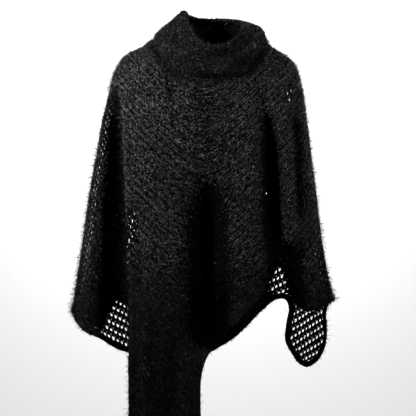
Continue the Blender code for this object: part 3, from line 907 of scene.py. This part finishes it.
# Each piece's node, and the cut it was made to: width and length in metres, and the share of that
# rectangle which is cloth
CLOTH = {
    "front_net": ("front_panel", (0.74, 1.02), 0.60),
    "back_net": ("back_panel", (0.74, 0.80), 0.80),
    "front_band": ("front_hem_border", (2.0, 0.0125), 1.0),
    "back_band": ("back_hem_border", (1.3, 0.0125), 1.0),
    "collar_knit": ("cowl_collar", (0.62, 0.13), 1.0),
}

# Look of each yarn beside its colour: roughness, sheen, and gloss where it isn't the usual
YARNS = {
    "yarn_core": (0.95, 0.0, 0.02),
    "tuft_deep": (0.95, 0.0, 0.01),
    "tuft_black": (0.8, 0.0, 0.06),
    "tuft_soot": (0.6, 0.2),
    "tuft_grey": (0.6, 0.2),
    "hair_black": (0.7, 0.0, 0.08),
    "hair_soot": (0.5, 0.2),
}


def shades():
    """The yarn's materials, made once, in the colours of the settings."""
    if bpy.data.materials.get("yarn_core") is None:
        for name, look in YARNS.items():
            yarn(name, getattr(bpy.context.scene.poncho, name), *look)
    return bpy.data.materials


def kinds():
    """Sizes in millimetres and degrees of the two kinds of pile, their shades, and the draws below
    which a blade has the next lighter shade."""
    get = shades().get
    return {
        "tufts": {
            "length": (5, 9), "few_long": 1.0, "width": (0.9, 1.5), "lift": (0, 25),
            "stray": 0.25, "bend": 0.25, "droop": 0.0, "rise": 0.8, "side": 0.0,
            "shades": [get(f"tuft_{word}") for word in ("deep", "black", "soot", "grey")],
            "mix": (0.80, 0.10),
        },
        "hairs": {
            "length": (6, 18), "few_long": 1.8, "width": (0.3, 0.7), "lift": (15, 85),
            "stray": 1.2, "bend": 0.5, "droop": 0.1, "rise": 0.6, "side": 0.35,
            "shades": [get("tuft_deep"), get("hair_black"), get("hair_soot")],
            "mix": (0.15,),
        },
    }


def dress(item):
    """Lets a piece ride on the root body, and gives it back."""
    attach(item, "root")
    return item


class PONCHO_OT_front(bpy.types.Operator):
    """Knitted mesh of the front, and the band along its hem"""

    bl_idname = "poncho.front"
    bl_label = "Knit the Front"

    def execute(self, context):
        settings, core = context.scene.poncho, shades()["yarn_core"]
        knit = {"row": settings.front_row, "slope": settings.front_slope, "seed": 5}
        build_net("front_net", -1, FRONT_HEM, core, settings, knit)
        build_band("front_band", -1, FRONT_HEM, core, settings)
        return {"FINISHED"}


class PONCHO_OT_back(bpy.types.Operator):
    """Knitted mesh of the back, and the band along its hem"""

    bl_idname = "poncho.back"
    bl_label = "Knit the Back"

    def execute(self, context):
        settings, core = context.scene.poncho, shades()["yarn_core"]
        knit = {"row": settings.back_row, "slope": settings.back_slope, "seed": 9}
        build_net("back_net", 1, BACK_HEM, core, settings, knit)
        build_band("back_band", 1, BACK_HEM, core, settings)
        return {"FINISHED"}


class PONCHO_OT_collar(bpy.types.Operator):
    """Close-knit cowl collar"""

    bl_idname = "poncho.collar"
    bl_label = "Knit the Collar"

    def execute(self, context):
        build_collar("collar_knit", shades()["yarn_core"], context.scene.poncho)
        return {"FINISHED"}


class PONCHO_OT_pile(bpy.types.Operator):
    """Tufts and fine hairs over every piece"""

    bl_idname = "poncho.pile"
    bl_label = "Raise the Pile"

    def execute(self, context):
        r = np.random.default_rng(context.scene.poncho.seed)
        for name, (tufts, hairs, inner) in PILE.items():
            ground = bpy.data.objects[name]
            for word, count in (("tufts", tufts), ("hairs", hairs)):
                pile(f"{name}_{word}", ground, count, kinds()[word], inner, r)
        return {"FINISHED"}


class PONCHO_OT_state(bpy.types.Operator):
    """Hangs each piece and its pile on the root body, and hides the node that the piece stands for
    """

    bl_idname = "poncho.state"
    bl_label = "State the Cloths"

    def execute(self, context):
        get = bpy.data.objects.get
        for name, (node, flat, share) in CLOTH.items():
            piles = [dress(get(f"{name}_{word}")) for word in ("tufts", "hairs")]
            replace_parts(dress(get(name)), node)
            get(name)
        return {"FINISHED"}


class PONCHO_OT_stage(bpy.types.Operator):
    """Pale studio, lamps and the camera"""

    bl_idname = "poncho.stage"
    bl_label = "Set the Stage"

    def execute(self, context):
        scene = context.scene
        build_backdrop()
        world = bpy.data.worlds.new("studio")
        world.use_nodes = True
        background = world.node_tree.nodes["Background"]
        background.inputs["Color"].default_value = (1, 1, 1, 1)
        background.inputs["Strength"].default_value = WORLD_STRENGTH
        scene.world = world
        for light in LIGHTS:
            add_light(*light)
        lens = bpy.data.cameras.new("camera")
        lens.sensor_width, lens.lens = SENSOR, SENSOR * CAMERA_DISTANCE / FRAME_WIDTH
        lens.clip_end = CLIP_END
        camera = bpy.data.objects.new("camera", lens)
        camera.location = (CAMERA_X, -CAMERA_DISTANCE, CAMERA_Z)
        camera.rotation_euler = (math.pi / 2, 0, 0)
        scene.collection.objects.link(camera)
        scene.camera = camera
        scene.view_settings.view_transform = "Standard"
        scene.view_settings.look = "None"
        scene.view_settings.gamma = GAMMA
        return {"FINISHED"}


# Camera: place and distance from the body's middle in metres, width of the frame there, width of
# the sensor in millimetres, and how far it sees
CAMERA_X, CAMERA_Z, CAMERA_DISTANCE = 0.0048, -0.3648, 4.0
FRAME_WIDTH, SENSOR, CLIP_END = 0.9984, 36.0, 50

# Tones: strength of the world's light, gamma of the picture, and the studio's own colour and glow
WORLD_STRENGTH, GAMMA = 0.02, 0.65
STUDIO_COLOUR, STUDIO_GLOW = (0.25, 0.25, 0.25), 0.69

# Lights: name, place, aim, size, watts, spread in degrees
LIGHTS = (
    ("key", (-1.75, -1.2, 0.72), (-0.20, 0.0, -0.10), 0.3, 54.0, 56),
    ("fill", (1.5, -1.0, 0.5), (0.18, 0.0, -0.22), 0.3, 17.0, 64),
    ("glow", (0.0, 2.6, 0.8), (0.0, 0.0, 0.8), 6.0, 75.0, 180),
    ("back", (1.5, 2.2, 0.9), (0.0, 0.1, -0.3), 0.4, 34.0, 60),
    ("wall_wash", (0.0, 7.4, 2.6), (0.0, 10.0, 0.6), 1.5, 276.0, 120),
)


def add_light(name, place, aim, size, power, spread):
    """Square light at a place, turned to its aim and not seen itself."""
    light = bpy.data.lights.new(name, "AREA")
    light.size, light.energy, light.spread = size, power, math.radians(spread)
    lamp = bpy.data.objects.new(name, light)
    lamp.location = place
    lamp.rotation_euler = (Vector(aim) - Vector(place)).to_track_quat("-Z", "Y").to_euler()
    lamp.visible_camera = False
    bpy.context.scene.collection.objects.link(lamp)


def build_backdrop():
    """Pale studio round the poncho, a box 20 m wide that glows faintly, as evenly lit paper does.
    It is only seen: the poncho is lit by the lamps."""
    ends, low, high = (-10.0, 10.0), -6.0, 10.0
    points = np.array([(x, y, z) for x in ends for y in ends for z in (low, high)])
    sides = (0, 1, 3, 2, 4, 6, 7, 5, 0, 4, 5, 1, 2, 3, 7, 6, 0, 2, 6, 4, 1, 5, 7, 3)
    paint = yarn("backdrop_paint", STUDIO_COLOUR, 1.0, 0.0, 0.0)
    shader = paint.node_tree.nodes["Principled BSDF"]
    shader.inputs["Emission Color"].default_value = (1, 1, 1, 1)
    shader.inputs["Emission Strength"].default_value = STUDIO_GLOW
    backdrop = new_piece("backdrop", points / MM, sides, 4, [paint], smooth=False)
    backdrop.visible_diffuse = backdrop.visible_glossy = False
    backdrop.visible_transmission = backdrop.visible_shadow = False


class PONCHO_PT_panel(bpy.types.Panel):
    """The poncho's settings and its build steps"""

    bl_label = "Poncho"
    bl_space_type = "VIEW_3D"
    bl_region_type = "UI"
    bl_category = "Poncho"

    def draw(self, context):
        for name in PonchoSettings.__annotations__:
            self.layout.prop(context.scene.poncho, name)
        for step in STEPS:
            self.layout.operator(step.bl_idname)


STEPS = (
    PONCHO_OT_front, PONCHO_OT_back, PONCHO_OT_collar,
    PONCHO_OT_pile, PONCHO_OT_state, PONCHO_OT_stage,
)


def register():
    for item in (PonchoSettings, *STEPS, PONCHO_PT_panel):
        bpy.utils.register_class(item)
    bpy.types.Scene.poncho = bpy.props.PointerProperty(type=PonchoSettings)


def unregister():
    del bpy.types.Scene.poncho
    for item in reversed((PonchoSettings, *STEPS, PONCHO_PT_panel)):
        bpy.utils.unregister_class(item)


def main():
    """Registers the add-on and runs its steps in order."""
    register()
    bpy.ops.poncho.front()
    bpy.ops.poncho.back()
    bpy.ops.poncho.collar()
    bpy.ops.poncho.pile()
    bpy.ops.poncho.state()
    bpy.ops.poncho.stage()


if __name__ == "__main__":
    main()
